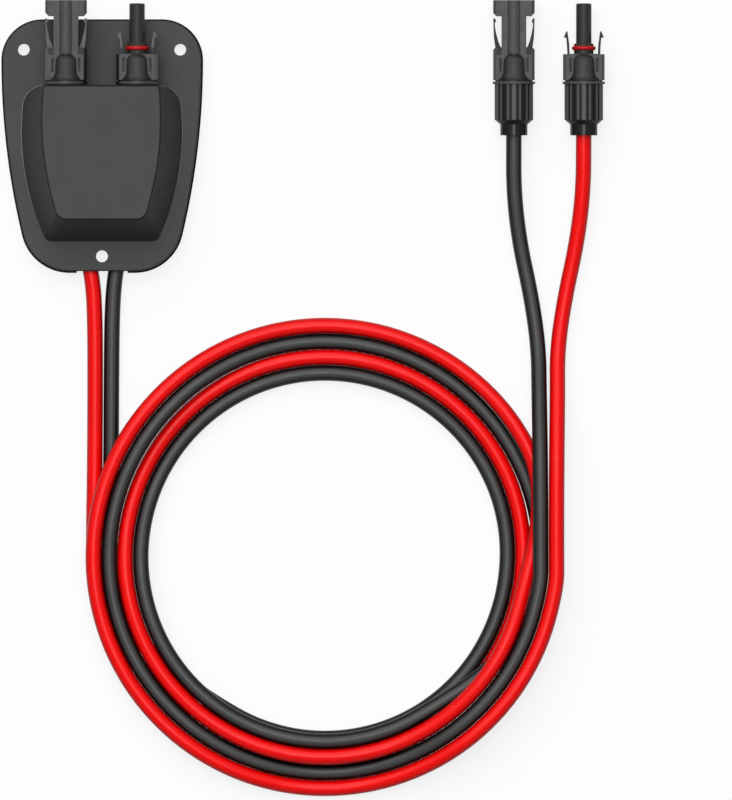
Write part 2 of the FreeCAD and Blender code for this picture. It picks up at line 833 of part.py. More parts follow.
def make_probe_shell(name, free):
    """Connector shell with a tube, a ring groove in its collar, and two barbed latch fingers."""
    body = new_body(name)
    section = side_view(body, "barrel")
    draw_barrel(section, plug_back() if free else port_back())
    revolve(body, section)
    plan = side_view(body, "plan")
    wide = S.shell_half_width
    draw_box(plan, -wide, wide, S.neckline_end, S.probe_shell_end)
    pad(body, plan, S.shell_half_height * 2, both_ways=True)
    round_edges(body, S.shell_bevel, upright_at(wide, S.shell_half_height), "Chamfer")

    tube = side_view(body, "tube")
    groove_floor = RING_RADIUS - S.ring_section_radius - S.ring_play
    groove_half = S.ring_section_radius + S.ring_play
    root = S.probe_shell_end - S.root_overlap
    bevel = S.probe_edge_bevel
    draw_polygon(tube, [
        (ZERO, root),
        (S.probe_collar_radius, root),
        (S.probe_collar_radius, S.ring_place - groove_half),
        (groove_floor, S.ring_place - groove_half),
        (groove_floor, S.ring_place + groove_half),
        (S.probe_collar_radius, S.ring_place + groove_half),
        (S.probe_collar_radius, S.probe_collar_end - bevel),
        (S.probe_collar_radius - bevel, S.probe_collar_end),
        (S.probe_radius, S.probe_collar_end),
        (S.probe_radius, S.probe_end - bevel),
        (S.probe_radius - bevel, S.probe_end),
        (ZERO, S.probe_end),
    ])
    revolve(body, tube)

    fingers = side_view(body, "fingers")
    inner, lean = S.finger_root_inner, S.finger_lean
    outer = inner + S.finger_thickness
    barb = S.finger_barb_start
    bend = barb - S.finger_bend_length
    finger = [
        (inner, root),
        (outer, root),
        (outer + lean / 2, bend),
        (outer + lean, barb),
        (outer + lean + S.finger_barb, barb),
        (outer + lean + S.finger_barb, barb + S.finger_barb_flat),
        (outer + lean, S.finger_end),
        (outer + lean - S.finger_thickness / 2, S.finger_end),
        (inner + lean / 2, bend),
    ]
    draw_polygon(fingers, finger)
    draw_polygon(fingers, mirrored(finger))
    pad(body, fingers, S.finger_half_height * 2, both_ways=True)

    cut_recesses(body)
    bore_contact_and_back(body, free, S.probe_end)
    return body


# What goes in and on the connectors

def make_turned(name, corners):
    """A turned piece from its half section, each corner a radius and a height."""
    body = new_body(name)
    section = side_view(body, "section")
    draw_polygon(section, corners)
    revolve(body, section)
    return body


def make_pin_contact(name, start):
    return make_turned(name, [
        (ZERO, start),
        (S.contact_seat_radius, start),
        (S.contact_seat_radius, S.socket_bore_end),
        (S.pin_radius, S.socket_bore_end + S.pin_shoulder),
        (S.pin_radius, S.pin_end - S.pin_tip_taper),
        (S.pin_radius / 2, S.pin_end),
        (ZERO, S.pin_end),
    ])


def make_socket_contact(name, start):
    end = S.socket_contact_end
    body = make_turned(name, [
        (ZERO, start),
        (S.contact_seat_radius, start),
        (S.contact_seat_radius, end - S.contact_bevel),
        (S.contact_seat_radius - S.contact_bevel, end),
        (ZERO, end),
    ])
    cut_bore(body, "bore", S.pin_radius + S.pin_play, end, end - S.socket_contact_depth)
    return body


def make_ring(name):
    """Round-section seal in the collar's groove."""
    ring = doc.addObject("Part::Torus", name)
    ring.Label = name
    bind(ring, "Radius1", RING_RADIUS)
    bind(ring, "Radius2", S.ring_section_radius)
    return ring


def make_panel_gasket(name):
    """Flat washer between the connector's collar and the hood's end."""
    disc = doc.addObject("Part::Cylinder", f"{name}_disc")
    bind(disc, "Radius", S.panel_gasket_radius)
    bind(disc, "Height", S.panel_gasket_thickness)
    hole = doc.addObject("Part::Cylinder", f"{name}_hole")
    bind(hole, "Radius", STUB_RADIUS + S.stub_play)
    bind(hole, "Height", S.panel_gasket_thickness)
    washer = doc.addObject("Part::Cut", name)
    washer.Label = name
    washer.Base = disc
    washer.Tool = hole
    return washer


def make_lock_nut(name):
    """Hexagon nut on the stub, its corners eased by a turned cut at each face."""
    body = new_body(name)
    plan = sketch_on(body, "plan")
    draw_polygon(plan, [polar(LOCK_NUT_CORNER, 60.0 * i) for i in range(6)])
    draw_circle(plan, ZERO, ZERO, STUB_RADIUS + S.contact_play)
    thick = S.lock_nut_thickness
    pad(body, plan, thick)
    ease = side_view(body, "eased_corners")
    flat, clear = S.lock_nut_flats / 2, LOCK_NUT_CORNER + S.root_overlap
    for face, inward in ((ZERO, S.lock_nut_ease), (thick, -S.lock_nut_ease)):
        draw_polygon(ease, [
            (flat, face - inward),
            (flat, face),
            (clear, face + inward * 2),
            (clear, face - inward),
        ])
    revolve(body, ease, groove=True)
    return body


def make_boot(name):
    """Rubber boot behind the stub, with a spigot that fills the stub round the lead."""
    lip = STUB_RADIUS - S.stub_play
    front = S.boot_length + STUB_LENGTH + S.stub_bore_end - S.contact_tail - S.boot_front_gap
    return make_turned(name, [
        (LEAD_PASSAGE, ZERO),
        (BOOT_RADIUS - S.boot_tail_round, ZERO),
        (BOOT_RADIUS, S.boot_tail_round),
        (lip, S.boot_length - S.boot_lip),
        (lip, S.boot_length),
        (BOOT_RADIUS, S.boot_length),
        (BOOT_RADIUS, front),
        (LEAD_PASSAGE, front),
    ])


def make_seal(name):
    """Rubber bush that the gland nut squeezes onto the lead."""
    return make_turned(name, [
        (LEAD_PASSAGE, -S.seal_length),
        (SEAL_RADIUS, -S.seal_length),
        (SEAL_RADIUS, ZERO),
        (LEAD_PASSAGE, ZERO),
    ])


CLAW_BORE = S.lead_radius + S.claw_play * 2
CLAW_TAIL = CLAW_BORE + S.claw_wall
CLAW_FLANGE = SLEEVE_RADIUS - S.claw_flange_step


def make_claw(name):
    """Slit collet between the seal and the gland nut's cone."""
    flange_back = -S.claw_grip - S.claw_flange_thickness
    body = make_turned(name, [
        (CLAW_BORE, -S.claw_length),
        (CLAW_TAIL, -S.claw_length),
        (CLAW_FLANGE, flange_back),
        (CLAW_FLANGE, -S.claw_grip),
        (SLEEVE_BORE - S.claw_play, -S.claw_grip),
        (SLEEVE_BORE - S.claw_play, ZERO),
        (CLAW_BORE, ZERO),
    ])
    slit = sketch_on(body, "slit", "XY_Plane", -S.claw_length)
    half = S.claw_slit / 2
    draw_box(slit, ZERO, CLAW_FLANGE + S.root_overlap, -half, half)
    cut = pocket(body, slit, S.claw_length - S.claw_grip - S.claw_slit_floor, backwards=True)
    around(body, cut, CLAW_SLITS)
    return body


def rib_corners(angle, width, inner, outer):
    """A rib's section: straight flanks either side of the direction at this angle."""
    out_x, out_y = polar(1.0, angle)
    corners = []
    for radius, side in ((inner, 1), (inner, -1), (outer, -1), (outer, 1)):
        offset = width / 2 * side
        corners.append((out_x * radius - out_y * offset, out_y * radius + out_x * offset))
    return corners


def make_gland_nut(name):
    """Ribbed nut that closes the sleeve: grip, cone and a tail round the lead."""
    grip_end = -S.nut_grip_length
    cone_end = grip_end - S.nut_cone_length
    tail_end = cone_end - S.nut_tail_length
    thread = SLEEVE_RADIUS + S.nut_thread_play
    grip = thread + S.nut_wall
    tail_bore = S.lead_radius + S.nut_tail_play
    tail = tail_bore + S.nut_tail_wall
    seat_end = SEAL_BACK - S.claw_length - S.claw_play
    body = make_turned(name, [
        (thread, ZERO),
        (grip, ZERO),
        (grip, grip_end),
        (tail, cone_end),
        (tail, tail_end),
        (tail_bore + S.nut_tail_bevel, tail_end),
        (tail_bore, tail_end + S.nut_tail_bevel),
        (tail_bore, seat_end - S.root_overlap),
        (CLAW_TAIL + S.claw_play, seat_end),
        (thread, SLEEVE_BACK - S.nut_thread_runout),
    ])
    ribs = sketch_on(body, "ribs", "XY_Plane", grip_end)
    root = grip - S.rib_root
    draw_polygon(ribs, rib_corners(90.0, S.grip_rib_width, root, grip + S.grip_rib_height))
    for side in (-1, 1):
        angle = 90.0 + S.grip_side_rib_angle * side
        outer = grip + S.grip_side_rib_height
        draw_polygon(ribs, rib_corners(angle, S.grip_side_rib_width, root, outer))
    around(body, pad(body, ribs, S.nut_grip_length), GRIP_RIB_GROUPS)
    tail_rib = sketch_on(body, "tail_rib", "XY_Plane", tail_end)
    root, outer = tail - S.rib_root, tail + S.tail_rib_height
    draw_polygon(tail_rib, rib_corners(90.0, S.tail_rib_width, root, outer))
    around(body, pad(body, tail_rib, S.nut_tail_length), GRIP_RIB_GROUPS)
    return body


# The leads

def smooth_path(points):
    """Straight runs joined by tangent arcs as large as the runs beside each corner allow."""
    points = [FreeCAD.Vector(*p) for p in points]
    edges, radii, start = [], [], points[0]
    for before, corner, after in zip(points, points[1:], points[2:]):
        back = (before - corner).normalize()
        ahead = (after - corner).normalize()
        cut = 0.45 * min((before - corner).Length, (after - corner).Length)
        half_turn = (math.pi - back.getAngle(ahead)) / 2
        radius = cut / math.tan(half_turn)
        enter, leave = corner + back * cut, corner + ahead * cut
        middle_way = (back + ahead).normalize()
        centre = corner + middle_way * (radius / math.cos(half_turn))
        middle = centre - middle_way * radius
        edges.append(Part.LineSegment(start, enter).toShape())
        edges.append(Part.Arc(enter, middle, leave).toShape())
        radii.append(radius)
        start = leave
    edges.append(Part.LineSegment(start, points[-1]).toShape())
    return Part.Wire(edges), radii


def make_lead(name, points):
    """A plain round tube along one uncoiled stretch of a lead."""
    path, radii = smooth_path(points)
    radius = S.lead_radius.number
    tangent = FreeCAD.Vector(*points[1]) - FreeCAD.Vector(*points[0])
    profile = Part.Wire([Part.makeCircle(radius, FreeCAD.Vector(*points[0]), tangent)])
    tube = path.makePipeShell([profile], True, True)
    expected = math.pi * radius**2 * path.Length
    if abs(tube.Volume - expected) > 0.01 * expected:
        raise RuntimeError(f"{name} has volume {tube.Volume:.1f}, not {expected:.1f}")
    print(f"{name}: length {path.Length:.1f}, radii {[round(r) for r in radii]}")
    lead = doc.addObject("Part::Feature", name)
    lead.Label = name
    lead.Shape = tube
    return lead


PORT_X = (S.port_spacing / 2).number
PORT_Z = PORT_HEIGHT.number
PORT_BACK = S.hood_end + S.panel_gasket_thickness
PORT_LEAD_END = (PORT_BACK + S.stub_bore_end - S.contact_tail).number
PLUG_LEAD_END = (S.plug_back + S.sleeve_bore_end - S.contact_tail).number
RED_PLUG_X = S.red_plug_place.number
BLACK_PLUG_X = (S.red_plug_place - S.plug_spread).number
PLUG_Z = S.collar_radius.number
FLOOR = S.lead_radius.number
COIL_HEIGHT = S.lead_radius * 2 * STRANDS_HIGH + S.lead_play * 2
OVER_COIL = (COIL_HEIGHT / 2 + S.lead_radius).number
COIL_Y = S.coil_place_y.number
RED_IN, BLACK_IN = S.red_lead_in.number, S.black_lead_in.number
RED_OUT, BLACK_OUT = S.red_lead_out.number, S.black_lead_out.number

RED_START = [
    (-PORT_X, PORT_LEAD_END, PORT_Z),
    (-PORT_X, 5.0, PORT_Z),
    (-16.3, -9.6, 18.6),
    (-14.5, -20.5, 13.7),
    (-12.1, -31.5, 7.7),
    (-9.6, -43.5, 4.1),
    (-7.4, -56.0, FLOOR + 0.02),
    (-4.8, -69.0, FLOOR),
    (-3.8, -85.0, FLOOR),
    (-3.4, -112.0, FLOOR),
    (RED_IN, -157.5, FLOOR),
    (RED_IN, COIL_Y, FLOOR),
]
BLACK_START = [
    (PORT_X, PORT_LEAD_END, PORT_Z),
    (PORT_X, 5.0, PORT_Z),
    (16.4, -9.6, 18.6),
    (14.8, -20.5, 13.7),
    (12.7, -31.5, 7.7),
    (10.4, -43.5, 4.1),
    (8.2, -56.0, FLOOR + 0.02),
    (6.0, -69.0, FLOOR),
    (5.0, -85.0, FLOOR),
    (4.9, -112.0, FLOOR),
    (BLACK_IN, -157.5, FLOOR),
    (BLACK_IN, COIL_Y, FLOOR),
]
RED_END = [
    (RED_OUT, COIL_Y, OVER_COIL),
    (RED_OUT, -175.0, OVER_COIL),
    (218.2, -147.0, OVER_COIL + 0.1),
    (218.4, -124.0, 7.4),
    (218.9, -101.0, 4.1),
    (222.3, -76.0, FLOOR),
    (227.7, -51.0, 4.9),
    (230.8, -26.0, 8.3),
    (RED_PLUG_X, -0.9, PLUG_Z),
    (RED_PLUG_X, PLUG_LEAD_END, PLUG_Z),
]
BLACK_END = [
    (BLACK_OUT, COIL_Y, OVER_COIL),
    (BLACK_OUT, -175.0, OVER_COIL),
    (209.8, -147.0, OVER_COIL + 0.1),
    (209.6, -124.0, 7.4),
    (209.2, -101.0, 4.1),
    (205.9, -76.0, FLOOR),
    (200.6, -51.0, 4.9),
    (197.8, -26.0, 8.3),
    (BLACK_PLUG_X, -0.9, PLUG_Z),
    (BLACK_PLUG_X, PLUG_LEAD_END, PLUG_Z),
]


def make_coil():
    """The space that the coiled turns fill, stepped where the leads join under and over it."""
    body = new_body("lead_coil")
    inner = S.coil_inner_radius
    outer = inner + S.lead_radius * 2 * STRANDS_ACROSS + S.coil_play
    section = side_view(body, "section")
    draw_box(section, inner, outer, ZERO, COIL_HEIGHT)
    revolve(body, section)
    round_edges(body, S.coil_bevel, lambda edge: isinstance(edge.Curve, Part.Circle), "Chamfer")
    beside = S.lead_radius + S.coil_play
    depth = COIL_HEIGHT / 2 + S.lead_play
    under = sketch_on(body, "under_step")
    draw_box(under, -outer - beside, S.black_lead_in + beside - S.coil_place_x, ZERO, outer)
    pocket(body, under, depth, backwards=True)
    over = sketch_on(body, "over_step", "XY_Plane", COIL_HEIGHT)
    draw_box(over, S.black_lead_out - beside - S.coil_place_x, outer + beside, ZERO, outer)
    pocket(body, over, depth)
    return body


# Putting the pieces in place

ALONG_Y = FreeCAD.Rotation(FreeCAD.Vector(1, 0, 0), -90)


def place(piece, x, y, z):
    """Stands a piece at this point, its own Z turned to +Y, held there by the sizes."""
    piece.Placement = FreeCAD.Placement(vector(x, y, z), ALONG_Y)
    for axis, size in zip("xyz", (x, y, z)):
        bind(piece, f"Placement.Base.{axis}", size)
    return piece


def port_pieces(side, x, is_probe):
    """One connector built into the hood, from its shell back to the boot."""
    back = PORT_BACK
    inner_face = S.hood_end - S.hood_wall
    contact_start = S.stub_bore_end - S.contact_tail
    make_shell = make_probe_shell if is_probe else make_socket_shell
    make_contact = make_socket_contact if is_probe else make_pin_contact
    pieces = [
        place(make_shell(f"{side}_port_body", False), x, back, PORT_HEIGHT),
        place(make_contact(f"{side}_port_contact", contact_start), x, back, PORT_HEIGHT),
        place(make_panel_gasket(f"{side}_port_gasket"), x, S.hood_end, PORT_HEIGHT),
        place(
            make_lock_nut(f"{side}_port_lock_nut"),
            x,
            inner_face - S.lock_nut_thickness,
            PORT_HEIGHT,
        ),
        place(
            make_boot(f"{side}_port_boot"),
            x,
            back - STUB_LENGTH - S.boot_length,
            PORT_HEIGHT,
        ),
    ]
    if is_probe:
        ring_y = back + S.ring_place
        pieces.append(place(make_ring(f"{side}_port_seal_ring"), x, ring_y, PORT_HEIGHT))
    return pieces


def plug_pieces(colour, x, is_probe):
    """One connector on the free end of a lead, from its shell back to the gland nut."""
    back, height = S.plug_back, S.collar_radius
    make_shell = make_probe_shell if is_probe else make_socket_shell
    make_contact = make_socket_contact if is_probe else make_pin_contact
    contact_start = S.sleeve_bore_end - S.contact_tail
    pieces = [
        place(make_shell(f"{colour}_plug_body", True), x, back, height),
        place(make_contact(f"{colour}_plug_contact", contact_start), x, back, height),
        place(make_seal(f"{colour}_plug_seal"), x, back + SEAL_FRONT, height),
        place(make_claw(f"{colour}_plug_claw"), x, back + SEAL_BACK, height),
        place(make_gland_nut(f"{colour}_plug_nut"), x, back, height),
    ]
    if is_probe:
        pieces.append(place(make_ring(f"{colour}_plug_seal_ring"), x, back + S.ring_place, height))
    return pieces


def make_coil_in_place():
    coil = make_coil()
    bind(coil, "Placement.Base.x", S.coil_place_x)
    bind(coil, "Placement.Base.y", S.coil_place_y)
    return coil


def check_document():
    doc.recompute()
    for item in doc.Objects:
        if "Invalid" in item.State or "Error" in item.State:
            raise RuntimeError(f"{item.Name} failed: {item.State}")


def export(pieces):
    os.makedirs("parts", exist_ok=True)
    check_document()
    for piece in pieces:
        shape = piece.Shape
        if shape.isNull() or not shape.isValid() or len(shape.Solids) != 1:
            raise RuntimeError(f"{piece.Label} is not one valid solid")
    for piece in pieces:
        piece.Shape.exportStep(f"parts/{piece.Label}.step")
    print(f"{len(pieces)} pieces written")


half_spacing = S.port_spacing / 2
all_pieces = [
    make_box_shell(),
    make_base_gasket(),
    *port_pieces("left", -half_spacing, False),
    *port_pieces("right", half_spacing, True),
    *plug_pieces("red", S.red_plug_place, True),
    *plug_pieces("black", S.red_plug_place - S.plug_spread, False),
    make_lead("red_lead_start", RED_START),
    make_lead("black_lead_start", BLACK_START),
    make_lead("red_lead_end", RED_END),
    make_lead("black_lead_end", BLACK_END),
    make_coil_in_place(),
]
export(all_pieces)
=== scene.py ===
import math

import bpy
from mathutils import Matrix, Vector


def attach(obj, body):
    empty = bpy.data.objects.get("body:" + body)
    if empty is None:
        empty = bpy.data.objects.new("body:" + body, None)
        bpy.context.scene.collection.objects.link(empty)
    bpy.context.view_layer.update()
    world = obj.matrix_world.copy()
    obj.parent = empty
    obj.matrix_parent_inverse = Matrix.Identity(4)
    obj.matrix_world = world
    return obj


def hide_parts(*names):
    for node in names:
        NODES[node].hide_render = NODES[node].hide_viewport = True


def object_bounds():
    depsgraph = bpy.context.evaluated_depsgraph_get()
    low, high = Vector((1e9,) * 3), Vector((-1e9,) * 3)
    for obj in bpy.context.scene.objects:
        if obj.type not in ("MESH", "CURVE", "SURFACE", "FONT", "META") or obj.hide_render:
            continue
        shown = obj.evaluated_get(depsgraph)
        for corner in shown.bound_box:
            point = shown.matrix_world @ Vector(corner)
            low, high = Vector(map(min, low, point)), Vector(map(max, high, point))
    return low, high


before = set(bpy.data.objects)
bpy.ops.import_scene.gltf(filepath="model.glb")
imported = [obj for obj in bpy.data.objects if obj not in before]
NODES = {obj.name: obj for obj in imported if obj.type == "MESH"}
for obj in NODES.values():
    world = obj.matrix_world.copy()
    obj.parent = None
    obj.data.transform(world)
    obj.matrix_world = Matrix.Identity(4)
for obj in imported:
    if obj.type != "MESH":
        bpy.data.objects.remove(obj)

LOW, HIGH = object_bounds()


# Camera: straight above the object, the head of the flange towards the top of the picture.

VIEW_CENTRE = (0.1266, -0.1262)
VIEW_HEIGHT = 0.384
LENS = 800.0
SENSOR = 36.0

camera_data = bpy.data.cameras.new("camera")
camera_data.lens = LENS
camera_data.sensor_width = SENSOR
camera_data.clip_start = 0.1
camera_data.clip_end = 100.0
camera = bpy.data.objects.new("camera", camera_data)
camera.location = (*VIEW_CENTRE, VIEW_HEIGHT * LENS / SENSOR)
bpy.context.collection.objects.link(camera)
bpy.context.scene.camera = camera


# The two leads. Each is one spline from the box through the coil to its free connector.

LEAD = 0.00756
ON_FLOOR = LEAD / 2
# How much higher a strand lies on another, and the height of the ones on top of two others.
LAYER = 0.0076
THIRD_LAYER = ON_FLOOR + 2 * LAYER
# The height of the axis of the connectors on the box.
PORT_Z = 0.021
COIL_X, COIL_Y = 0.1069, -0.2015
# The coil's points come every so many degrees, from the left round to the right.
TURN_STEP = 15.0
COIL_START = 180.0
COIL_STEPS = 60
# Tracks of the coil from the outside in, by radius.
RED_OUTER, BLACK_OUTER, RED_INNER, BLACK_INNER = 0.111, 0.10343, 0.09586, 0.08829
# How much nearer the middle the first turn starts than its track.
TUCK = 0.0012


def ramp(value, low, high):
    """0 before low, 1 after high, smooth between."""
    t = min(1.0, max(0.0, (value - low) / (high - low)))
    return t * t * (3.0 - 2.0 * t)


def coil_points(start, sideways, painted_top_light):
    """Two and a half turns on the floor from the left round to the right. A move runs from one angle
    to another, in degrees wound from +X, and changes the radius or the height by so many metres."""
    points = []
    spread = 1.0 / math.cos(math.radians(TURN_STEP / 2))
    for k in range(COIL_STEPS):
        theta = COIL_START + TURN_STEP * (k + 0.5)
        radius = start + sum(change * ramp(theta, low, high) for low, high, change in sideways)
        height = ON_FLOOR + sum(change * ramp(theta, low, high) for low, high, change in painted_top_light)
        a = math.radians(theta)
        points.append((
            COIL_X + radius * spread * math.cos(a),
            COIL_Y + radius * spread * math.sin(a),
            height,
        ))
    return points


# The first turn goes under to the inner tracks. The second lies on it, and on the right it crosses
# to the outer tracks: the black between the two reds, then the red between the two blacks.
# The last half turn passes over the leads from the box and ends above the rest.
RED_COIL = coil_points(
    RED_OUTER,
    [(188, 236, RED_INNER - TUCK - RED_OUTER), (340, 390, TUCK), (711, 747, RED_OUTER - RED_INNER)],
    [
        (505, 552, LAYER), (654, 679, LAYER), (696, 721, -LAYER), (746, 770, -LAYER),
        (815, 862, LAYER), (955, 990, -LAYER), (992, 1038, 2 * LAYER),
    ],
)
BLACK_COIL = coil_points(
    BLACK_OUTER,
    [(184, 234, BLACK_INNER - TUCK - BLACK_OUTER), (340, 390, TUCK), (668, 706, BLACK_OUTER - BLACK_INNER)],
    [
        (505, 552, LAYER), (694, 718, -LAYER),
        (815, 862, LAYER), (955, 990, -LAYER), (992, 1038, 2 * LAYER),
    ],
)
RED_ROUTE = [
    (-0.017, 0.0191, PORT_Z),
    (-0.017, 0.005, PORT_Z),
    (-0.0163, -0.0096, 0.0186),
    (-0.0145, -0.0205, 0.0137),
    (-0.0121, -0.0315, 0.0077),
    (-0.0096, -0.0435, 0.0042),
    (-0.0073, -0.056, 0.0038),
    (-0.0045, -0.069, ON_FLOOR),
    (-0.0035, -0.085, ON_FLOOR),
    (-0.0033, -0.112, ON_FLOOR),
    (-0.0035, -0.1575, ON_FLOOR),
    (-0.004, -0.186, ON_FLOOR),
    *RED_COIL,
    (0.21785, -0.2015, THIRD_LAYER),
    (0.21785, -0.175, THIRD_LAYER),
    (0.21805, -0.147, 0.0176),
    (0.2184, -0.124, 0.0104),
    (0.2184, -0.101, 0.0046),
    (0.2222, -0.076, ON_FLOOR),
    (0.2277, -0.051, 0.0049),
    (0.2308, -0.026, 0.0083),
    (0.231, -0.0009, 0.0102),
    (0.231, 0.0237, 0.0102),
]
BLACK_ROUTE = [
    (0.017, 0.0191, PORT_Z),
    (0.017, 0.005, PORT_Z),
    (0.0164, -0.0096, 0.0186),
    (0.0148, -0.0205, 0.0137),
    (0.0127, -0.0315, 0.0077),
    (0.0104, -0.0435, 0.0042),
    (0.0081, -0.056, 0.0038),
    (0.0058, -0.069, ON_FLOOR),
    (0.0048, -0.085, ON_FLOOR),
    (0.0045, -0.112, ON_FLOOR),
    (0.0043, -0.1575, ON_FLOOR),
    (0.0036, -0.186, ON_FLOOR),
    *BLACK_COIL,
    (0.21025, -0.2005, THIRD_LAYER),
    (0.21025, -0.175, THIRD_LAYER),
    (0.21, -0.147, 0.0182),
    (0.2096, -0.124, 0.0114),
    (0.2094, -0.101, 0.0048),
    (0.2058, -0.076, ON_FLOOR),
    (0.2003, -0.051, 0.0049),
    (0.1974, -0.026, 0.0083),
    (0.1975, -0.0009, 0.0102),
    (0.1975, 0.0237, 0.0102),
]


def make_lead(name, route):
    """A round lead of one smooth spline with the route's points as its control points."""
    curve = bpy.data.curves.new(name, "CURVE")
    curve.dimensions = "3D"
    curve.bevel_depth = 1.0
    curve.bevel_resolution = 10
    curve.resolution_u = 6
    curve.use_fill_caps = True
    spline = curve.splines.new("NURBS")
    spline.points.add(len(route) - 1)
    for point, place in zip(spline.points, route):
        point.co = (*place, 1.0)
        point.radius = LEAD / 2
    spline.order_u = 3
    spline.use_endpoint_u = True
    lead = bpy.data.objects.new(name, curve)
    bpy.context.collection.objects.link(lead)
    return lead


def line_length(lead):
    """The length of the lead's own line, from the spline with no thickness."""
    line = lead.data.copy()
    line.bevel_depth = 0.0
    line.use_fill_caps = False
    probe = bpy.data.objects.new("probe", line)
    bpy.context.collection.objects.link(probe)
    bpy.context.view_layer.update()
    ready = probe.evaluated_get(bpy.context.evaluated_depsgraph_get())
    mesh = bpy.data.meshes.new_from_object(ready)
    corners = [v.co.copy() for v in mesh.vertices]
    bpy.data.objects.remove(probe)
    bpy.data.meshes.remove(mesh)
    return sum((b - a).length for a, b in zip(corners, corners[1:]))


red_lead = make_lead("red_lead", RED_ROUTE)
black_lead = make_lead("black_lead", BLACK_ROUTE)
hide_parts("red_lead_start", "red_lead_end", "lead_coil")
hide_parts("black_lead_start", "black_lead_end")
for lead, slot_name in ((red_lead, "red_jacket"), (black_lead, "black_jacket")):
    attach(lead, "root")

line_length(red_lead)
line_length(black_lead)


# Floor, world and light: a plain pale floor and a soft light from above and from the head.

FLOOR_HALF = 30.0
FLOOR_DROP = 0.0001
# The floor's tone for light on its way to the object, and for the camera.
FLOOR_TONE = (0.15, 0.15, 0.15, 1.0)
FLOOR_SEEN = (0.99, 0.99, 0.99, 1.0)
FLOOR_GLOW = 0.8
WORLD_LIGHT = 0.16


def add_floor():
    """A wide plain floor, a hair below the lowest point of the object."""
    mesh = bpy.data.meshes.new("floor")
    signs = ((-1, -1), (1, -1), (1, 1), (-1, 1))
    mesh.from_pydata([(a * FLOOR_HALF, b * FLOOR_HALF, 0.0) for a, b in signs], [], [(0, 1, 2, 3)])
    floor = bpy.data.objects.new("floor", mesh)
    floor.location.z = LOW.z - FLOOR_DROP
    bpy.context.collection.objects.link(floor)
    return floor


def white_for_camera(nodes, links):
    """1 for what the camera, a glossy ray or a transmission ray sees, 0 for the rest."""
    path = nodes.new("ShaderNodeLightPath")
    first = nodes.new("ShaderNodeMath")
    first.operation = "MAXIMUM"
    links.new(path.outputs["Is Camera Ray"], first.inputs[0])
    links.new(path.outputs["Is Glossy Ray"], first.inputs[1])
    second = nodes.new("ShaderNodeMath")
    second.operation = "MAXIMUM"
    links.new(first.outputs[0], second.inputs[0])
    links.new(path.outputs["Is Transmission Ray"], second.inputs[1])
    return second.outputs[0]


def floor_material():
    """Matt and near white, with a faint glow of its own for the camera; it throws less light back
    on the object than the camera sees of it, and keeps the object's soft shadow."""
    material = bpy.data.materials.new("floor")
    material.use_nodes = True
    nodes, links = material.node_tree.nodes, material.node_tree.links
    nodes.clear()
    seen = white_for_camera(nodes, links)
    matt = nodes.new("ShaderNodeBsdfDiffuse")
    tone = nodes.new("ShaderNodeMix")
    tone.data_type = "RGBA"
    tone.inputs["A"].default_value = FLOOR_TONE
    tone.inputs["B"].default_value = FLOOR_SEEN
    links.new(seen, tone.inputs["Factor"])
    links.new(tone.outputs["Result"], matt.inputs["Color"])
    glow = nodes.new("ShaderNodeEmission")
    share = nodes.new("ShaderNodeMath")
    share.operation = "MULTIPLY"
    share.inputs[1].default_value = FLOOR_GLOW
    links.new(seen, share.inputs[0])
    both = nodes.new("ShaderNodeMixShader")
    links.new(share.outputs[0], both.inputs["Fac"])
    links.new(matt.outputs[0], both.inputs[1])
    links.new(glow.outputs[0], both.inputs[2])
    output = nodes.new("ShaderNodeOutputMaterial")
    links.new(both.outputs[0], output.inputs["Surface"])
    return material


def set_world():
    """An even soft light; where the camera looks past the floor it sees white."""
    world = bpy.data.worlds.new("world")
    world.use_nodes = True
    nodes, links = world.node_tree.nodes, world.node_tree.links
    background = nodes["Background"]
    background.inputs["Color"].default_value = (1.0, 1.0, 1.0, 1.0)
    mix = nodes.new("ShaderNodeMix")
    mix.data_type = "FLOAT"
    mix.inputs["A"].default_value = WORLD_LIGHT
    mix.inputs["B"].default_value = 1.0
    links.new(white_for_camera(nodes, links), mix.inputs["Factor"])
    links.new(mix.outputs["Result"], background.inputs["Strength"])
    bpy.context.scene.world = world


def add_sun(name, strength, softness, tilt, heading):
    """A soft sun: tilt from straight down, heading of the side it comes from, both in degrees."""
    data = bpy.data.lights.new(name, "SUN")
    data.energy = strength
    data.angle = math.radians(softness)
    sun = bpy.data.objects.new(name, data)
    sun.rotation_euler = (math.radians(tilt), 0.0, math.radians(heading + 90.0))
    bpy.context.collection.objects.link(sun)


floor = add_floor()
floor.data.materials.append(floor_material())
set_world()
add_sun("key", 2.0, 60.0, 34.0, 108.0)
add_sun("top", 0.8, 26.0, 4.0, 108.0)


# Materials. Every one is made of nodes that read the place on the object, or which way it faces.

# The box, in the frame: the height of the flange, and the upright end of the hood.
FLANGE_TOP = 0.0105
HOOD_END = 0.0249
# The bands of a connector's shell about its axis: (from, to) beside, along or above it.
COLLAR_RIM = (0.0087, 0.0104)
COLLAR_FLANK = (0.0017, 0.0172)
COLLAR = (0.0, 0.0172)
PAINTED_SHADE_BAND = (0.0082, 0.0086)
PROUD = (0.00703, 0.00718)
BARREL = (0.0012, 0.0145)
BARREL_SIDE = (0.0026, 0.0046)
BARREL_CAP = (0.0122, 0.0150)
GROOVE_ACROSS, GROOVE_ALONG, GROOVE_DEPTH = (0.00225, 0.00305), (0.0138, 0.0402), (0.00706, 0.00696)
ARM_ACROSS, ARM_ALONG = (0.0066, 0.0104), (0.0173, 0.0316)
HOLLOW_ACROSS, HOLLOW_ALONG, HOLLOW_DEPTH = (0.0056, 0.0085), (0.005, 0.0174), (0.0069, 0.0060)
TUBE_RADIUS, TUBE_ALONG = (0.00495, 0.00485), (0.0143, 0.0402)
